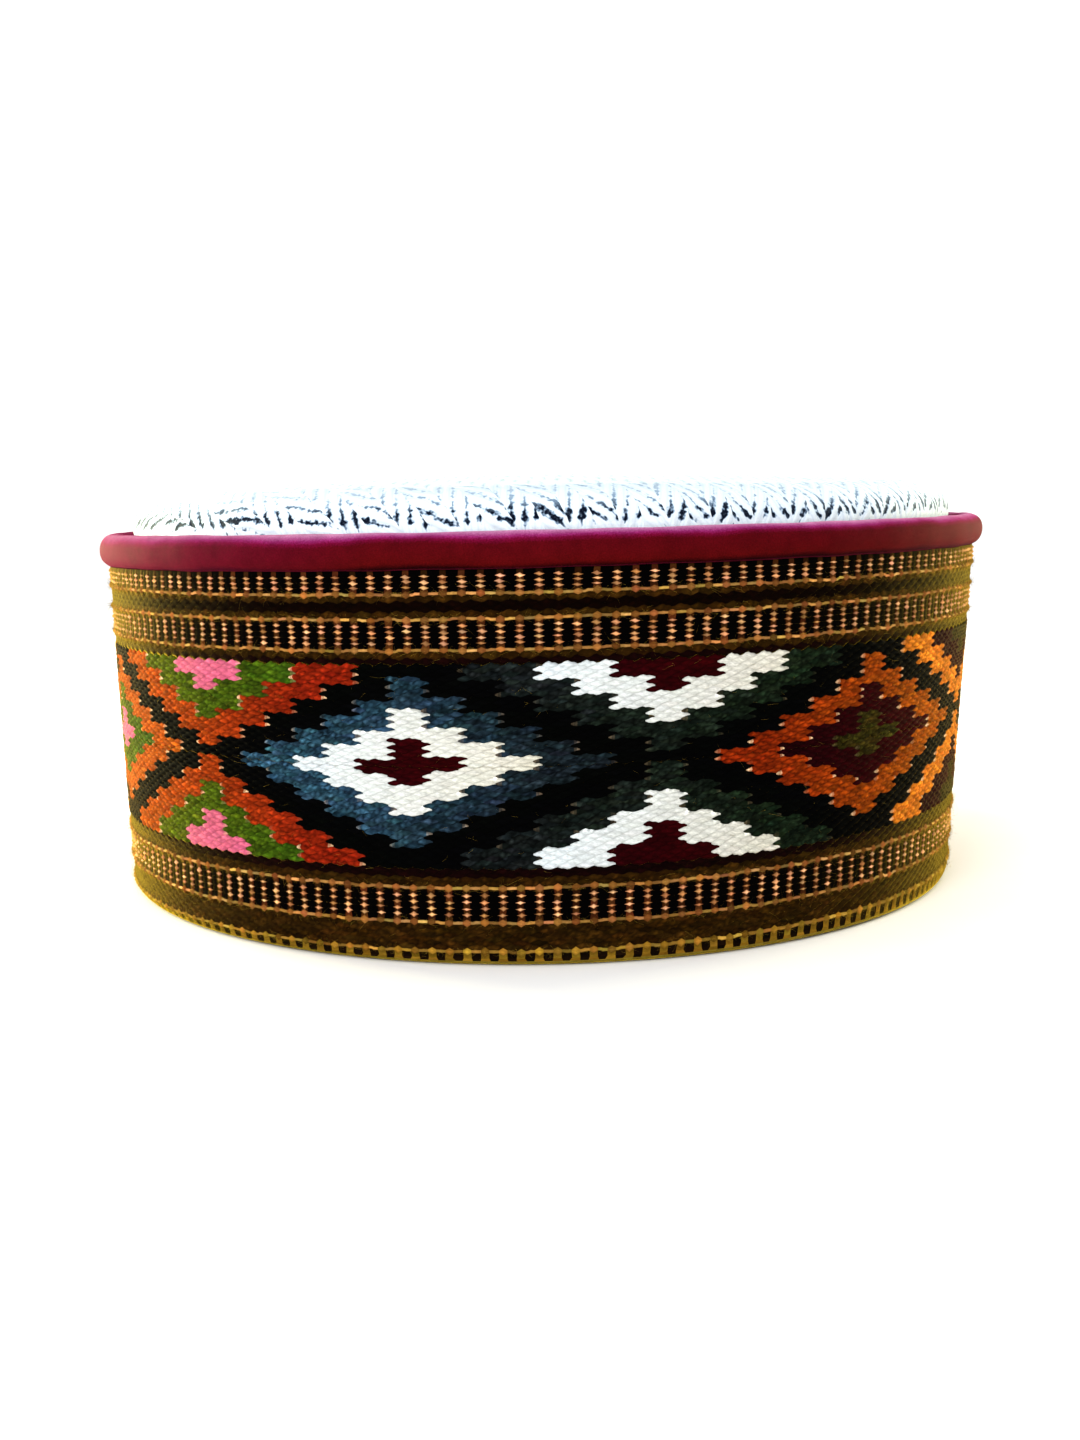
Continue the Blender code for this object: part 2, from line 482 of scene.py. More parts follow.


# The ladders: the beads of a rung, the bare share below and above them, how much their size,
# height and lean vary, half their height as a share of their pitch, and the relief, the pull
# and the painted brightness of their middles (painted highlight) and edges (painted shade)
RUNG_BEADS = 4
LADDER_MARGIN = 0.225
RUNG_UNEVEN = 0.22
RUNG_WOBBLE = 0.07 * MM
RUNG_LEAN, LEAN_LIMIT = 0.08 * MM, 1.5
THREAD_HALF, RUNG_HALF = 0.03, 0.36
GROUND_RELIEF = at_rungs((0.0, 0.0, 0.08, 0.10, 0.08, 0.0)) * MM
RUNG_RELIEF = 0.45 * MM * RUNG_SHAPE
RUNG_EDGE_RELIEF = 0.16 * MM * RUNG_SHAPE + GROUND_RELIEF
RUNG_LIGHT = 0.85 + 0.50 * RUNG_SHAPE
RUNG_EDGE_LIGHT = 0.45 + 0.1 * RUNG_SHAPE
MIDDLE_PULLS, EDGE_PULLS = 1.9 * RUNG_PULLS, 0.2 * RUNG_PULLS


def ladder_beads(strip, lower, upper, shown=RUNG_BEADS, light=0.85):
    """The rungs of a ladder: stacks of pointed beads on a black ground."""
    margin = LADDER_MARGIN * (upper - lower)
    pitch = (upper - lower - 2 * margin) / (RUNG_BEADS - 1)
    strip.paint(rung_colours("rung_gap", "ground"))
    for bead in range(shown):
        plump = 1.0 + rung_jitter(RUNG_UNEVEN)
        half = pitch * (THREAD_HALF + RUNG_HALF * RUNG_SHAPE * plump)
        middle = lower + margin + pitch * bead + rung_jitter(RUNG_WOBBLE)
        lean = rung_jitter(RUNG_LEAN, LEAN_LIMIT)
        edge = (RUNG_EDGE_RELIEF, lean + EDGE_PULLS, RUNG_EDGE_LIGHT)
        colours = rung_colours("rung", "ground")
        strip.line(middle - half, *edge, colours)
        strip.line(middle, RUNG_RELIEF * plump + GROUND_RELIEF, lean + MIDDLE_PULLS,
                   light * RUNG_LIGHT, colours)
        strip.line(middle + half, *edge, rung_colours("rung_gap", "ground"))


def motif_yarns(course):
    """The yarn of each bead of one course of the figured field, and its drift in its motif.

    Whole diamonds stand at the middle of the field, and halves between them at its borders.
    From a whole one to the half on its right all is woven one course higher, and the upper
    point of every diamond is one course taller still.
    """
    places = np.arange(BEADS) + 0.5
    full = np.round((places - FIRST_FULL) / PERIOD).astype(int)
    half = np.round((places - FIRST_HALF) / PERIOD).astype(int)
    from_full = np.abs(places - FIRST_FULL - PERIOD * full) / BEADS_PER_STEP
    from_half = np.abs(places - FIRST_HALF - PERIOD * half) / BEADS_PER_STEP
    higher = (places - FIRST_FULL + 1) % PERIOD < PERIOD / 2 + 2
    upper = course >= FIGURED // 2
    point = (from_full < 0.5) if upper else (from_half < 0.5)
    woven = (course - higher - point).clip(0, FIGURED - 1)
    step = np.abs(woven // COURSES_PER_STEP - MIDDLE_STEP)
    reach_full, reach_half = from_full + step, from_half + MIDDLE_STEP - step
    in_half = reach_half < reach_full
    centre = np.where(in_half, FIRST_HALF + PERIOD * half, FIRST_FULL + PERIOD * full)
    # Drift from a motif's left side to its right: painted light, one side lit differently from
    # the other
    drift = (0.5 + (places - centre) / DRIFT_WIDTH).clip(0.0, 1.0)
    group = np.where(in_half, half, full) % len(COLOURWAYS)
    ring = np.searchsorted(RING_REACHES, np.minimum(reach_full, reach_half))
    return COLOURWAYS[group, in_half.astype(int), ring], drift


def field_height(course):
    """The lower edge of a course of the field. The courses are looser towards the rim."""
    share = course / COURSES
    looser = (LOOSER_MIDDLE * math.sin(math.pi * share)
              + LOOSER_BELOW * math.sin(math.tau * share))
    return FIELD_BOTTOM + (FIELD_TOP - FIELD_BOTTOM) * (share + looser)


# The rim from the fold up: heights, reliefs and pulls of its lines, and the yarns above each
# one, on the rungs and between them. The two below the dashes are straight
RIM_LINES = (
    (0.0, 0.0, 0.0, "edge", "edge"),
    (0.45 * MM, 0.10 * MM, 0.0, "edge", "edge"),
    (0.95 * MM, 0.14 * MM, 2.0 * RUNG_PULLS, "edge_gold", "rim_shadow"),
    (1.50 * MM, 0.05 * MM + 0.30 * MM * RUNG_SHAPE, 0.9 * RUNG_PULLS, "edge_gold",
     "rim_shadow"),
)
DASH_UNEVEN = 0.10 * MM
RIM_LINE_REACH = 0.74 * MM
LOWER_LINE_REACH = 0.70 * MM
LOWER_RUNG_LIGHT = 1.15


def weave_rim(strip):
    """The lowest border, where the strip bends under: dashes between short gold beads."""
    jitters = (0.0, 0.0, rung_jitter(DASH_UNEVEN), rung_jitter(DASH_UNEVEN))
    for (height, relief, pull, on, off), uneven in zip(RIM_LINES, jitters):
        strip.line(height, relief, pull + uneven, colours=rung_colours(on, off))
    gold_line(strip, EDGE_LINE, RIM_LINE_REACH, "edge_bead", "edge_thread")


def weave_strip():
    """Lay every line of the strip, and note where its four pieces meet."""
    strip = Strip()
    weave_rim(strip)
    stripe(strip, EDGE_LINE + CLEAR, LOWER_LADDER[0] - CLEAR, 6, ("umber",))
    gold_line(strip, LOWER_LADDER[0], LOWER_LINE_REACH)
    ladder_beads(strip, *LOWER_LADDER, light=LOWER_RUNG_LIGHT)
    gold_line(strip, LOWER_LADDER[1], LOWER_LINE_REACH)
    stripe(strip, LOWER_LADDER[1] + CLEAR, FIELD_BOTTOM, 4, ("umber", "mulberry"))
    cuts = [0]
    for course in range(COURSES):
        if course in (0, FIGURED // 2):
            cuts.append(len(strip.lines))
        names, drift = motif_yarns(course)
        weave_course(strip, field_height(course), field_height(course + 1), course, names,
                     BEAD_RELIEF, drift)
    cuts.append(len(strip.lines))
    stripe(strip, FIELD_TOP, MIDDLE_LADDER[0] - CLEAR, 2, ("mulberry", "umber"), COURSES)
    gold_line(strip, MIDDLE_LADDER[0])
    ladder_beads(strip, *MIDDLE_LADDER)
    gold_line(strip, MIDDLE_LADDER[1])
    stripe(strip, MIDDLE_LADDER[1] + CLEAR, UPPER_LADDER[0] - CLEAR, 4,
           ("umber", "dark_umber", "dark_umber", "umber"))
    gold_line(strip, UPPER_LADDER[0])
    ladder_beads(strip, *UPPER_LADDER, shown=RUNG_BEADS - 1)
    strip.line(UPPER_LADDER[1] - BEHIND_ROLL, 0.0, colours=rung_colours("rung_gap", "ground"))
    strip.line(BAND_TOP, 0.0)
    cuts.append(len(strip.lines) - 1)
    return strip, cuts


def strip_distances(pulls):
    """How far along the strip from the middle of the forehead each vertex lies."""
    return FRONT_OFFSET + (STEPS_ROUND / PER_BEAD - BEADS / 2) * PITCH + pulls


def section_height(height, angle):
    """Where a height on the strip lies on the wall."""
    x = RIM_HALF_WIDTH * np.sin(angle)
    kept = np.maximum(height, FULL_TILT_FROM)
    full = (kept + STRIP_TILT * x) / (1.0 + TILT * x / PIPING_HEIGHT)
    return full * np.minimum(height / FULL_TILT_FROM, 1.0)


def fold_inset(height):
    """How far the face curves in below the rounding of the fold."""
    depth = np.clip(OUTER_ROUNDING - height, 0.0, OUTER_ROUNDING)
    return OUTER_ROUNDING - np.sqrt(OUTER_ROUNDING ** 2 - depth ** 2)


SEAM_SWELL, SWELL_WIDTH = 0.35 * MM, 3.5 * MM
SEAM_GROOVE, GROOVE_WIDTH = 1.0 * MM, 0.8 * MM
ROLL_SQUEEZE = 2.0 * MM


def seam_relief(distances):
    """The swelling on both sides of the seam at the nape, and the groove between."""
    off = np.abs(np.abs(distances - FRONT_OFFSET) - GIRTH / 2)
    swell = SEAM_SWELL * np.exp(-(off / SWELL_WIDTH) ** 2)
    return swell - SEAM_GROOVE * np.exp(-(off / GROOVE_WIDTH) ** 2)


def strip_points(strip, first, last):
    """Vertices of the strip's lines from first to last, and of the two behind them."""
    lines = []
    for line in strip.lines[first:last + 1]:
        distances = strip_distances(line.pulls)
        angle = angle_at(distances)
        height = section_height(line.heights, angle)
        above_fold = np.clip(height / OUTER_ROUNDING - 1.0, 0.0, 1.0)
        soft = rippled(BAND_SWELL, angle, height)
        below_roll = np.clip((BAND_TOP - height) / ROLL_SQUEEZE, 0.0, 1.0)
        relief = line.reliefs + (soft + seam_relief(distances)) * above_fold
        inset = RECESS + fold_inset(height) - relief * below_roll
        lines.append(fitted(wall_half_width(inset, height), height, angle))
    angle = angle_at(strip_distances(0.0))
    for index in (last, first):
        height = section_height(strip.lines[index].heights.mean(), angle)
        height = np.maximum(height, FOLD_THICKNESS)
        lines.append(fitted(wall_half_width(BAND_WALL, height), height, angle))
    return np.stack(lines)


def colour_strip(piece, colours, shades):
    """Write the yarns' colours, one per quad, times each vertex's painted shade and highlight.
    """
    corners = corner_vertices(piece)
    values = np.ones((len(corners), 4), np.float32)
    values[:, :3] = np.repeat(colours, 4, axis=0) * shades[corners][:, None]
    layer = piece.data.color_attributes.new("yarn", "FLOAT_COLOR", "CORNER")
    layer.data.foreach_set("color", values.ravel())


# The map that the strip is baked on: its length in stacked rows with margins between them. The
# face that shows takes most of a row's height, and each line behind it a little more
STACKS = 6
SIDE_MARGIN = 0.004
ROW_MARGIN = 0.02
FACE_SHARE, BEHIND_SHARE = 0.90, 0.03


def lay_out_strip(piece, lines, heights):
    """Two maps of a strip's piece: one in metres for the fibres, one in stacks to bake on."""
    line, column, face_column = corner_places(piece, lines, COLUMNS)
    per_stack = COLUMNS // STACKS
    stack = face_column // per_stack
    across = (column - stack * per_stack) / per_stack
    top = lines - 3
    rise = np.where(line <= top, FACE_SHARE * line / top,
                    FACE_SHARE + BEHIND_SHARE * (line - top))
    write_map(piece, "strip", strip_distances(0.0)[0] + column * PITCH / PER_BEAD,
              heights[line % lines])
    write_map(piece, "OFBake", SIDE_MARGIN + (1.0 - 2 * SIDE_MARGIN) * across,
              (stack + ROW_MARGIN + (1.0 - 2 * ROW_MARGIN) * rise) / STACKS)


def build_band(border_wool, field_wool):
    """The strip's four zones, each a closed ring of cloth."""
    strip, cuts = weave_strip()
    hidden = np.broadcast_to(linear(YARNS["dark_umber"].left), (COLUMNS, 3))
    plain = np.ones(COLUMNS)
    names = ("band_lower_border", "band_field_lower", "band_field_upper", "band_upper_border")
    for name, first, last in zip(names, cuts, cuts[1:]):
        points = strip_points(strip, first, last)
        lines, shown = len(points), strip.lines[first:last + 1]
        piece = mesh_piece(name, field_wool if "field" in name else border_wool, points,
                           ring_faces(lines, COLUMNS, True))
        colour_strip(piece, np.concatenate(strip.colours[first:last] + [hidden] * 3),
                     np.concatenate([line.shades for line in shown] + [plain] * 2))
        heights = [line.heights.mean() for line in shown]
        lay_out_strip(piece, lines, np.array(heights + [heights[-1], heights[0]]))
        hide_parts("woven_band")
        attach(piece, BODY)


# Loose fibres: most stand near a line of gold, and the rest anywhere on the strip. Their
# lengths and lifts have a shape and a scale for their spread, and limits
HAIRS = 13800
HAIR_RINGS, HAIR_SIDES = 3, 3
NEAR_LINES, LINE_SCATTER = 0.88, 0.33 * MM
HAIR_ZONE = (1.0 * MM, 69.0 * MM)
HAIR_REACH = (0.6 * MM, 69.2 * MM)
HAIR_LENGTHS, LENGTH_LIMITS = (3.0, 0.3 * MM), (0.3 * MM, 5.0 * MM)
HAIR_LIFTS, LIFT_LIMITS = (2.0, 0.22 * MM), (0.1 * MM, 1.6 * MM)
HAIR_SLOPE = 0.45
HAIR_CURL = 0.5 * MM
HAIR_ROOT, HAIR_STANDOFF = 0.05 * MM, 0.35 * MM
HAIR_RADIUS, HAIR_TAPER = 0.018 * MM, 0.6


def hair_points():
    """Points of every fibre, in rings from its root to its tip."""
    own = np.random.default_rng(19)
    start = own.uniform(-GIRTH / 2, GIRTH / 2, HAIRS)
    lines = (EDGE_LINE, *LOWER_LADDER, *MIDDLE_LADDER, UPPER_LADDER[0])
    near_line = own.choice(lines, HAIRS) + own.normal(0.0, LINE_SCATTER, HAIRS)
    height = np.where(own.uniform(size=HAIRS) < NEAR_LINES, near_line,
                      own.uniform(*HAIR_ZONE, HAIRS))
    length = own.gamma(*HAIR_LENGTHS, HAIRS).clip(*LENGTH_LIMITS)
    slope = own.normal(0.0, HAIR_SLOPE, HAIRS)
    way = own.choice((-1.0, 1.0), HAIRS)
    lift = own.gamma(*HAIR_LIFTS, HAIRS).clip(*LIFT_LIMITS)
    curl = own.normal(0.0, HAIR_CURL, HAIRS)
    rings = []
    for share in np.linspace(0.0, 1.0, HAIR_RINGS):
        angle = angle_at(start + way * length * share * np.cos(slope))
        high = height + length * share * np.sin(slope) + curl * share ** 2
        out = (lift + HAIR_STANDOFF) * (1.0 - (1.0 - share) ** 2) - HAIR_ROOT
        radius = HAIR_RADIUS * (1.0 - HAIR_TAPER * share)
        for turn in range(HAIR_SIDES):
            spin = -way * math.tau * turn / HAIR_SIDES
            side_height = section_height(high.clip(*HAIR_REACH) + radius * np.sin(spin), angle)
            inset = fold_inset(side_height) - out - radius * np.cos(spin)
            rings.append(fitted(wall_half_width(inset, side_height), side_height, angle))
    return np.stack(rings, axis=1)


def build_fuzz(material):
    """Loose wool fibres that stand off the strip, as one piece of thin closed hairs."""
    last = HAIR_SIDES * (HAIR_RINGS - 1)
    ends = np.array([(2, 1, 0), (last, last + 1, last + 2)])
    first = np.arange(HAIRS)[:, None, None] * HAIR_SIDES * HAIR_RINGS
    quads = (ring_faces(HAIR_RINGS, HAIR_SIDES, False) + first).reshape(-1, 4)
    ends = (ends + first).reshape(-1, 3).tolist()
    piece = mesh_piece("band_fuzz", material, hair_points(), quads, ends)
    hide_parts("woven_band")
    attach(piece, BODY)


HEM_STEPS = 5
HEM_EDGE_START = 30.0


def build_hem(material):
    """The fold under the rim and the hem that rises inside."""
    turn = 0.5 * HEM_WALL
    inner_foot = RIM_HALF_WIDTH - HEM_INSET - HEM_WALL + INNER_ROUNDING
    corners = ((OUTER_ROUNDING + RECESS, 0.0), (BAND_WALL, FOLD_THICKNESS),
               (HEM_INSET, FOLD_THICKNESS), (HEM_INSET, HEM_HEIGHT - turn))
    section = [(wall_half_width(inset, height), height) for inset, height in corners]
    section += arc((wall_half_width(HEM_INSET + turn, HEM_HEIGHT), HEM_HEIGHT - turn),
                   turn, turn, HEM_EDGE_START, 180.0, HEM_STEPS)
    section += arc((inner_foot, INNER_ROUNDING), INNER_ROUNDING, INNER_ROUNDING, 180.0, 270.0,
                   HEM_STEPS)
    angle = angle_at(strip_distances(0.0))
    piece = mesh_piece("band_hem", material, [fitted(w, h, angle) for w, h in section],
                       ring_faces(len(section), COLUMNS, True))
    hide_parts("woven_band")
    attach(piece, BODY)


# ---- the crown and the piping

# Columns round the crown, and the steps of its wall, shoulder and dome, outside and inside
CROWN_COLUMNS = 376
OUTER_STEPS = (6, 18, 26)
INNER_STEPS = (6, 8, 14)
PUCKER_FADE = 6


def crown_skin(depth, wall_steps, shoulder_steps, dome_steps):
    """One skin of the crown from its foot to just short of its top."""
    foot = FOLD_THICKNESS + GAP
    heights = np.linspace(foot, WALL_TOP, wall_steps + 1)
    wall = [(wall_half_width(CROWN_INSET + depth, h), h) for h in heights]
    centre = (SHOULDER_HALF_WIDTH - SHOULDER_REACH, SHOULDER_HEIGHT)
    shoulder = arc(centre, SHOULDER_REACH - depth, SHOULDER_RISE - depth,
                   *SHOULDER_ARC, shoulder_steps)
    edge_half_width, edge_height = shoulder[-1]
    rise = CROWN_HEIGHT - depth - edge_height
    shares = 1.0 - np.arange(1, dome_steps) / dome_steps
    dome = [(edge_half_width * s, edge_height + rise * (1.0 - s ** 2)) for s in shares]
    return wall + shoulder + dome


def cloth_reaches(skin):
    """Lengths of cloth from the crown's top to each point of a skin that runs down from it."""
    return np.hypot(*np.diff([(0.0, CROWN_HEIGHT)] + skin, axis=0).T).cumsum()


def build_crown(material):
    """The tweed crown: an outer and an inner skin that meet at the foot."""
    outer = crown_skin(0.0, *OUTER_STEPS)[::-1]
    inner = crown_skin(CROWN_WALL, *INNER_STEPS)
    section = outer + inner
    reaches = [*cloth_reaches(outer), *cloth_reaches(inner[::-1])[::-1]]
    angle = even_angles(CROWN_COLUMNS)
    lines = []
    for half_width, height in section:
        share = min(half_width / SHOULDER_HALF_WIDTH, 1.0)
        showing = 1.0 if height > PIPING_HEIGHT else 0.0
        puckers = rippled(CROWN_PUCKERS, angle, height) * share ** PUCKER_FADE * showing
        lift = rippled(CROWN_SAG, angle, height) * share * showing + puckers
        lines.append(fitted(half_width + 0.5 * puckers, height + lift, angle))
    tops = fitted(0.0, np.array([CROWN_HEIGHT, CROWN_HEIGHT - CROWN_WALL]), 0.0)
    points = np.concatenate([*lines, tops])
    pole = len(points) - 2
    last = pole - CROWN_COLUMNS
    caps = []
    for column in range(CROWN_COLUMNS):
        along = (column + 1) % CROWN_COLUMNS
        caps += [(along, column, pole), (last + column, last + along, pole + 1)]
    piece = mesh_piece("crown_tweed", material, points,
                       ring_faces(len(section), CROWN_COLUMNS, False), caps)
    corners = corner_vertices(piece)
    across = np.append(np.outer(reaches, np.sin(angle)), (0.0, 0.0))
    up = np.append(np.outer(reaches, -DEPTH_TO_WIDTH * np.cos(angle)), (0.0, 0.0))
    write_map(piece, "cloth", across[corners], up[corners])
    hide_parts("crown")
    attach(piece, BODY)


# Columns round the roll, steps round its section, and how much flatter its outer side is
PIPING_COLUMNS = 564
PIPING_STEPS = 26
FLATTER = 0.10


def build_piping(material):
    """The velvet roll, notched below where the band's edge is sewn into it."""
    half_width = wall_half_width(PIPING_INSET, PIPING_HEIGHT)
    notch_top = BAND_TOP + GAP
    notch_side = wall_half_width(-GAP, BAND_TOP)
    lip = math.degrees(math.acos((notch_side - half_width) / PIPING_RADIUS))
    heel = math.degrees(math.asin((PIPING_HEIGHT - notch_top) / PIPING_RADIUS))
    section = arc((half_width, PIPING_HEIGHT), PIPING_RADIUS, PIPING_RADIUS, -lip,
                  180.0 + heel, PIPING_STEPS)
    angle = even_angles(PIPING_COLUMNS)
    points = []
    for w, h in section:
        outwards = max((w - half_width) / PIPING_RADIUS, 0.0)
        w -= FLATTER * PIPING_RADIUS * outwards ** 3
        out, up = (w - half_width) / PIPING_RADIUS, (h - PIPING_HEIGHT) / PIPING_RADIUS
        soft = rippled(ROLL_SWELL, angle, h) * math.hypot(out, up)
        points.append(fitted(w + soft * out, h + soft * up, angle))
    points.append(fitted(notch_side, notch_top, angle))
    lines = len(points)
    piece = mesh_piece("velvet_roll", material, points,
                       ring_faces(lines, PIPING_COLUMNS, True))
    line, column, _ = corner_places(piece, lines, PIPING_COLUMNS)
    write_map(piece, "roll", column / PIPING_COLUMNS * GIRTH, line / (lines - 2))
    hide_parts("velvet_piping")
    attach(piece, BODY)


# ---- materials

SPECULAR = 0.03
NOISE_LOW, NOISE_HIGH = 0.3, 0.7


class Cloth:
    """A cloth material, and short ways to add nodes to it."""

    def __init__(self, name, roughness, sheen, sheen_tint, sheen_roughness):
        self.material = bpy.data.materials.new(name)
        self.material.use_nodes = True
        self.tree = self.material.node_tree
        self.shader = self.tree.nodes["Principled BSDF"]
        self.feed(self.shader, {
            "Roughness": roughness, "Specular IOR Level": SPECULAR, "Sheen Weight": sheen,
            "Sheen Tint": (*linear(sheen_tint), 1.0), "Sheen Roughness": sheen_roughness})
        self.place = self.add("TexCoord", {}).outputs["Object"]

    def feed(self, node, inputs):
        """Feed a node's inputs with sockets or constants."""
        for key, value in inputs.items():
            if isinstance(value, bpy.types.NodeSocket):
                self.tree.links.new(value, node.inputs[key])
            else:
                node.inputs[key].default_value = value

    def add(self, kind, inputs, operation=None):
        """A new node with its inputs fed."""
        node = self.tree.nodes.new("ShaderNode" + kind)
        if operation:
            node.operation = operation
        self.feed(node, inputs)
        return node

    def maths(self, operation, *values):
        """The result of a maths node."""
        return self.add("Math", dict(enumerate(values)), operation).outputs[0]

    def total(self, first, *others):
        """The sum of several values."""
        for other in others:
            first = self.maths("ADD", first, other)
        return first

    def noise(self, scale, detail=2.0, roughness=0.5, at=None):
        """The value of a noise texture, at a point of the cap or at other coordinates."""
        return self.add("TexNoise", {"Vector": at or self.place, "Scale": scale,
                                     "Detail": detail, "Roughness": roughness}).outputs["Fac"]

    def ranged(self, value, low, high, to_low, to_high):
        """A value moved from one range to another, and kept inside it."""
        return self.add("MapRange", {"Value": value, "From Min": low, "From Max": high,
                                     "To Min": to_low, "To Max": to_high}).outputs["Result"]

    def spread(self, noise, low, high):
        """A noise's value moved from its usual range to another."""
        return self.ranged(noise, NOISE_LOW, NOISE_HIGH, low, high)

    def scaled(self, colour, factor):
        """A colour times a number."""
        return self.add("VectorMath", {0: colour, "Scale": factor}, "SCALE").outputs[0]

    def mapped(self, vector, scale=(1.0, 1.0, 1.0), turn=0.0):
        """Coordinates that are turned about Z and stretched."""
        return self.add("Mapping", {"Vector": vector, "Scale": scale,
                                    "Rotation": (0.0, 0.0, turn)}).outputs[0]

    def split(self, vector):
        """The X, Y and Z of a vector."""
        return self.add("SeparateXYZ", {0: vector}).outputs

    def uv_map(self, name):
        """The coordinates of a UV map."""
        node = self.add("UVMap", {})
        node.uv_map = name
        return node.outputs[0]

    def ramp(self, value, stops):
        """Colours along a value, from stops with their share and their linear colour."""
        node = self.add("ValToRGB", {"Fac": value})
        marks = node.color_ramp.elements
        while len(marks) < len(stops):
            marks.new(0.5)
        for mark, (share, colour) in zip(marks, stops):
            mark.position = share
            mark.color = (*colour, 1.0)
        return node.outputs["Color"]

    def srgb_ramp(self, value, stops):
        """Colours along a value, from stops with their share and their sRGB colour."""
        return self.ramp(value, [(share, linear(colour)) for share, colour in stops])

    def finished(self, colour, height=None, relief=0.0):
        """The material in a colour, raised by a height value times a relief."""
        self.feed(self.shader, {"Base Color": colour})
        if height:
            bump = self.add("Bump", {"Strength": 1.0, "Distance": relief, "Height": height})
            self.feed(self.shader, {"Normal": bump.outputs[0]})
        return self.material


# Waves in a metre of yarn, along and across it, and the twist of its fibres
FIBRE_WAVES = (1400.0, 6500.0, 1.0)
FIBRE_TWIST = math.radians(9.0)


def woven_wool(name, sheen, sheen_tint, sheen_roughness):
    """Wool yarns in the colours that the strip's attribute gives, with fibres along them."""
    wool = Cloth(name, 0.9, sheen, sheen_tint, sheen_roughness)
    yarn = wool.add("Attribute", {})
    yarn.attribute_name = "yarn"
    along = wool.mapped(wool.uv_map("strip"), FIBRE_WAVES, FIBRE_TWIST)
    fibres = wool.noise(1.0, 3.0, 0.6, along)
    blotches = wool.noise(420.0)
    shade = wool.maths("MULTIPLY", wool.spread(fibres, 0.78, 1.22),
                       wool.spread(blotches, 0.93, 1.07))
    return wool.finished(wool.scaled(yarn.outputs["Color"], shade), fibres, 0.10 * MM)


def fuzz():
    """The loose fibres: pale wool, each patch of them a little different."""
    wool = Cloth("fuzz", 0.8, 0.7, (232, 210, 96), 0.3)
    patches = wool.noise(900.0)
    return wool.finished(wool.srgb_ramp(patches, ((0.35, (60, 44, 16)),
                                                  (0.65, (146, 116, 48)))))


def hem_wool():
    """The plain dark back of the strip."""
    wool = Cloth("hem_wool", 0.9, 0.2, (200, 180, 110), 0.4)
    fibres = wool.noise(2600.0, 3.0, 0.6)
    colour = wool.srgb_ramp(fibres, ((0.0, (34, 24, 10)), (1.0, (84, 66, 34))))
    return wool.finished(colour, fibres, 0.15 * MM)


HERRINGBONE_WIDTH = 4.3 * MM
HERRINGBONE_TURN = math.radians(26)
TWILL_PITCH = 5.5 * MM
TWILL_SLOPE = 2.05
TWILL_EDGE = 2.8
WAVER_ACROSS, WAVER_ALONG = 1.0 * MM, 2.0 * MM

# By mm of cloth from the crown's middle: how much of the tweed its dark lines cover, how dark
# they are, and how light its ground is. The top is even grey tweed. On the shoulder the lines
# fade and the ground lightens, a painted highlight where the cloth turns up to the light; the
# lines gather towards its foot, and the foot is painted white, a painted highlight over the
# shade of the crease above the roll
TWEED_REACHES = (
    (76.0, 0.46, 0.62, 0.60), (82.5, 0.44, 0.50, 0.74), (86.0, 0.36, 0.42, 0.85),
    (89.0, 0.36, 0.66, 0.88), (90.8, 0.46, 1.00, 0.88), (92.5, 0.60, 1.00, 0.92),
    (93.5, 0.00, 0.90, 1.12),
)
REACH_WAVER = 2.4
TWEED_STOPS = (
    (0.0, (226, 238, 244)), (0.25, (202, 218, 230)), (0.55, (136, 158, 180)),
    (1.0, (10, 18, 36)),
)


def herringbone(wool, cloth):
    """How deep a point of the tweed lies in a dark line, and in a faint one, from 0 to 1."""
    turned = wool.split(wool.mapped(cloth, turn=-HERRINGBONE_TURN))
    waver = wool.noise(240.0, 1.0)
    across = wool.maths("MULTIPLY_ADD", waver, WAVER_ACROSS, turned["X"])
    turn = wool.maths("PINGPONG", across, HERRINGBONE_WIDTH)
    rib = wool.maths("FLOOR", wool.maths("DIVIDE", across, HERRINGBONE_WIDTH))
    climb = wool.maths("MULTIPLY_ADD", turn, TWILL_SLOPE, turned["Y"])
    climb = wool.maths("MULTIPLY_ADD", rib, TWILL_PITCH / 2, climb)
    climb = wool.maths("MULTIPLY_ADD", waver, WAVER_ALONG, climb)
    fold = wool.maths("PINGPONG", climb, TWILL_PITCH / 2)
    hatch = wool.maths("PINGPONG", climb, TWILL_PITCH / 4)
    return (wool.maths("MULTIPLY", fold, 2.0 / TWILL_PITCH),
            wool.maths("MULTIPLY", hatch, 4.0 / TWILL_PITCH))


def tweed_zones(wool, cloth):
    """The cover, the darkness and the ground's lightness of TWEED_REACHES at a point."""
    round_cloth = wool.mapped(cloth, (1.0, 1.0 / DEPTH_TO_WIDTH, 1.0))
    length = wool.add("VectorMath", {0: round_cloth}, "LENGTH").outputs["Value"]
    reach = wool.maths("MULTIPLY_ADD", wool.noise(420.0, 1.0), REACH_WAVER * MM, length)
    first, last = TWEED_REACHES[0][0], TWEED_REACHES[-1][0]
    middle = REACH_WAVER / 2
    reach = wool.ranged(reach, (first + middle) * MM, (last + middle) * MM, 0.0, 1.0)
    stops = [((mark[0] - first) / (last - first), mark[1:]) for mark in TWEED_REACHES]
    return wool.add("SeparateColor", {0: wool.ramp(reach, stops)}).outputs[:3]


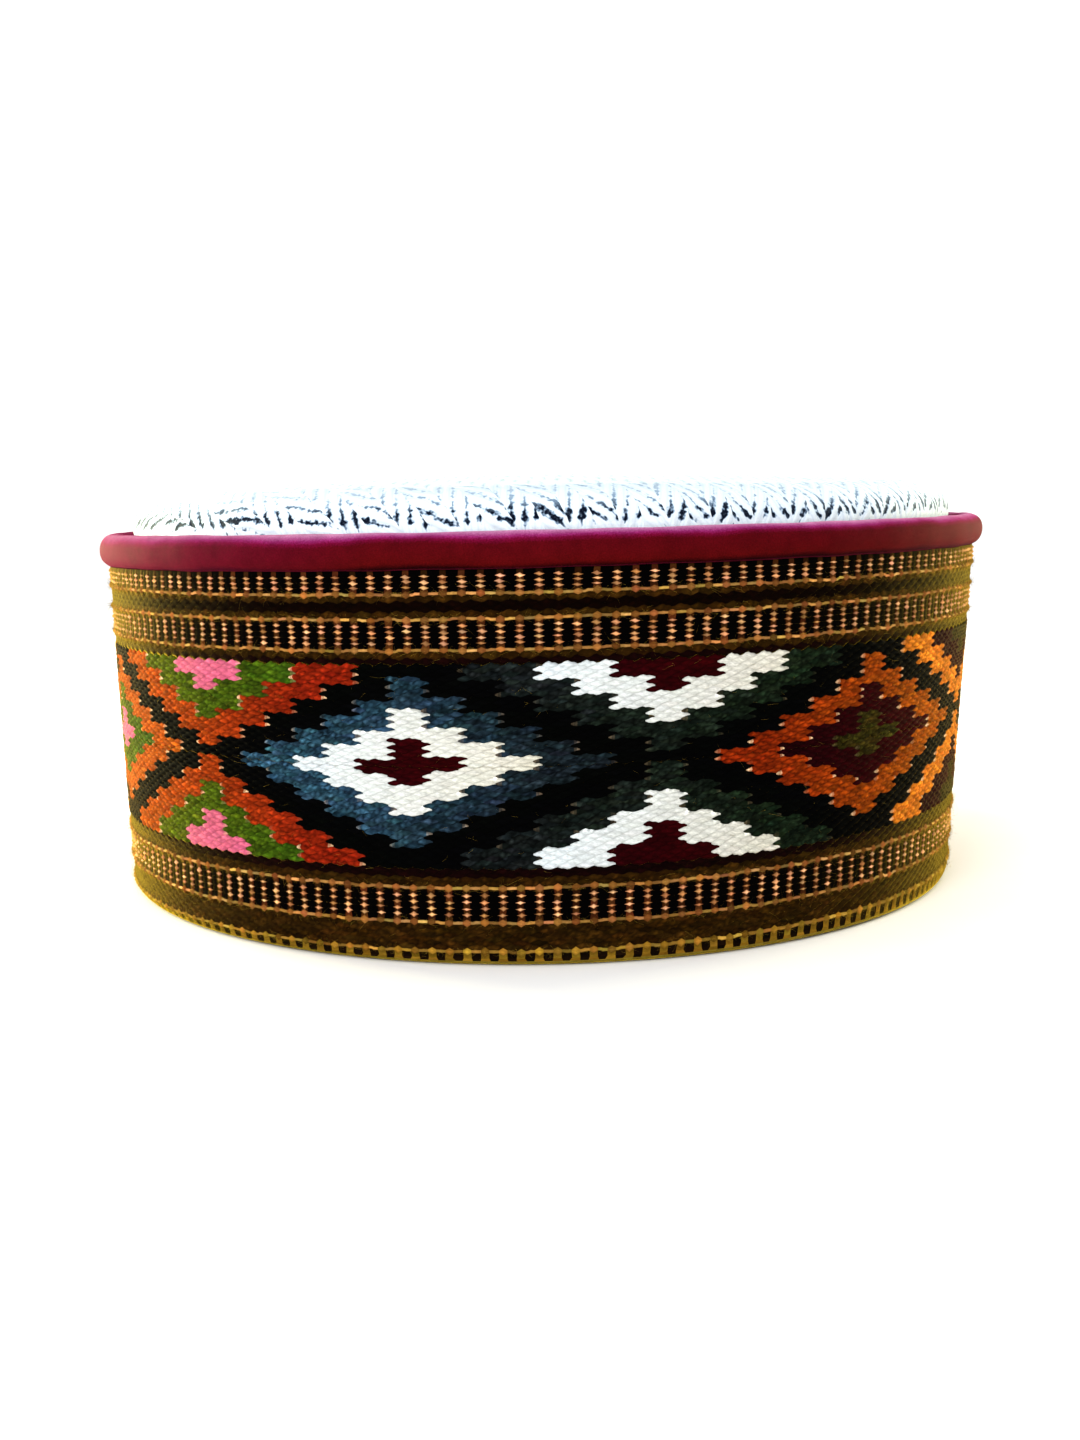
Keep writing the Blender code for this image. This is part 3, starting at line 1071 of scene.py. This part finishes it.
def tweed():
    """Pale herringbone tweed: white ridges that turn at each rib, with dark flecks between."""
    wool = Cloth("tweed", 0.92, 0.6, (214, 232, 246), 0.4)
    cloth = wool.uv_map("cloth")
    groove, hatch = herringbone(wool, cloth)
    # The zones paint the shoulder's highlight and the white foot: painted light
    cover, depth, light = tweed_zones(wool, cloth)
    fibres = wool.noise(2600.0, 3.0, 0.6)
    flecks = wool.spread(wool.noise(170.0, 3.0, 0.65), -0.22, 0.18)
    specks = wool.spread(wool.noise(1100.0, 1.0), -0.28, 0.28)
    lines = wool.total(groove, cover, flecks, specks)
    lines = wool.maths("MULTIPLY", wool.ranged(lines, 1.0, 1.0 + 1.0 / TWILL_EDGE, 0.0, 1.0),
                       depth)
    dark = wool.total(lines, wool.spread(fibres, -0.08, 0.08),
                      wool.ranged(hatch, 0.45, 1.0, 0.0, 0.16))
    shade = wool.maths("MULTIPLY", light, wool.spread(fibres, 0.9, 1.08))
    relief = wool.maths("MULTIPLY_ADD", groove, -1.0, 1.0)
    relief = wool.maths("MULTIPLY_ADD", fibres, 0.3, relief)
    colour = wool.scaled(wool.srgb_ramp(dark, TWEED_STOPS), shade)
    return wool.finished(colour, relief, 0.18 * MM)


# The velvet's sRGB colours from the lip under the roll up and over it: share of the section.
# The dark lip is painted shade under the roll; the pale lilac on top is a painted sheen
# highlight
VELVET_STOPS = (
    (0.03, (34, 2, 5)), (0.10, (82, 9, 12)), (0.33, (80, 7, 18)), (0.38, (104, 10, 50)),
    (0.42, (132, 40, 96)), (0.47, (158, 90, 132)), (0.53, (182, 130, 162)),
    (0.60, (146, 82, 118)), (0.70, (86, 10, 36)),
)

# Towards the cap's left side the colours are mixed with MAUVE and the painted shine reaches
# lower: painted light on that side of the roll
MAUVE = (106, 11, 58)
MAUVE_FROM, MAUVE_FULL = -30 * MM, -90 * MM
MAUVE_SHARE, SHINE_LOWER = 0.5, 0.05


def velvet():
    """Crimson velvet, with a painted lilac sheen highlight along the top of the roll."""
    roll = Cloth("velvet", 0.8, 0.24, (214, 56, 112), 0.25)
    side = roll.split(roll.place)["X"]
    up_section = roll.split(roll.uv_map("roll"))["Y"]
    pile = roll.noise(4200.0, 2.0, 0.6)
    shine_edge_waver = roll.spread(roll.noise(30.0, 3.0, 0.6), -0.045, 0.045)
    # Painted light: on the left side the painted shine sits lower and MAUVE is mixed in
    lower = roll.ranged(side, MAUVE_FULL, MAUVE_FROM, SHINE_LOWER, 0.0)
    up_section = roll.total(up_section, shine_edge_waver, lower, roll.spread(pile, -0.012, 0.012))
    mauve = roll.add("Mix", {})
    mauve.data_type = "RGBA"
    roll.feed(mauve, {"Factor": roll.ranged(side, MAUVE_FULL, MAUVE_FROM, MAUVE_SHARE, 0.0),
                      "A": roll.srgb_ramp(up_section, VELVET_STOPS),
                      "B": (*linear(MAUVE), 1.0)})
    shade = roll.maths("MULTIPLY", roll.spread(pile, 0.8, 1.2),
                       roll.spread(roll.noise(260.0, 3.0, 0.6), 0.85, 1.15))
    return roll.finished(roll.scaled(mauve.outputs["Result"], shade), pile, 0.12 * MM)


def floor_finish():
    """The pale floor, with a very faint grain."""
    paint = Cloth("pale_floor", 0.8, 0.0, (255, 255, 255), 0.5)
    grain = paint.noise(40.0)
    return paint.finished(paint.ramp(grain, ((0.0, (0.86, 0.86, 0.855)),
                                             (1.0, (0.90, 0.90, 0.895)))))


# ---- the stage

FLOOR_HALF = 4.0
COOL_WHITE = (0.96, 0.98, 1.0)
YELLOW = (1.0, 0.92, 0.50)
LAMP_TARGET = Vector((0.0, 0.0, 45 * MM))


def build_floor():
    """A plain pale floor."""
    corners = FLOOR_HALF * np.array([(-1, -1, 0), (1, -1, 0), (1, 1, 0), (-1, 1, 0)])
    floor = mesh_piece("floor", floor_finish(), corners, np.array([(0, 1, 2, 3)]))


def softbox(name, place, size, power, colour):
    """A square soft light that looks at the cap's middle."""
    light = bpy.data.lights.new(name, "AREA")
    light.size = size
    light.energy = power
    light.color = colour
    lamp = bpy.data.objects.new(name, light)
    lamp.location = place
    lamp.rotation_euler = (LAMP_TARGET - Vector(place)).to_track_quat("-Z", "Y").to_euler()
    bpy.context.scene.collection.objects.link(lamp)


def build_lights():
    """A white room, a soft key from the front and above, and a light behind each side."""
    world = bpy.data.worlds.new("white_room")
    world.use_nodes = True
    background = world.node_tree.nodes["Background"]
    background.inputs["Color"].default_value = (1.0, 1.0, 1.0, 1.0)
    background.inputs["Strength"].default_value = 1.0
    bpy.context.scene.world = world
    softbox("key", (-0.35, -0.85, 0.42), 0.35, 4.0, COOL_WHITE)
    softbox("left_edge", (-0.60, 0.38, 0.10), 0.30, 14.0, YELLOW)
    softbox("right_edge", (0.60, 0.38, 0.10), 0.30, 7.5, YELLOW)


def build_camera():
    """The camera, where the photo was taken from."""
    pose = Matrix.Translation(CAMERA_PLACE)
    for degrees, axis in CAMERA_TURNS:
        pose = pose @ Matrix.Rotation(math.radians(degrees), 4, axis)
    data = bpy.data.cameras.new("camera")
    data.lens = CAMERA_LENS
    data.clip_start, data.clip_end = 0.01, 20.0
    camera = bpy.data.objects.new("camera", data)
    camera.matrix_world = pose
    bpy.context.scene.collection.objects.link(camera)
    bpy.context.scene.camera = camera


def main():
    """Build the cap, the stage and the camera."""
    build_band(woven_wool("border_wool", 1.0, (236, 204, 60), 0.24),
               woven_wool("field_wool", 0.5, (226, 184, 64), 0.18))
    build_fuzz(fuzz())
    build_hem(hem_wool())
    build_crown(tweed())
    build_piping(velvet())
    build_floor()
    build_lights()
    build_camera()
    view = bpy.context.scene.view_settings
    view.view_transform = "Standard"
    view.look = "Medium High Contrast"


main()
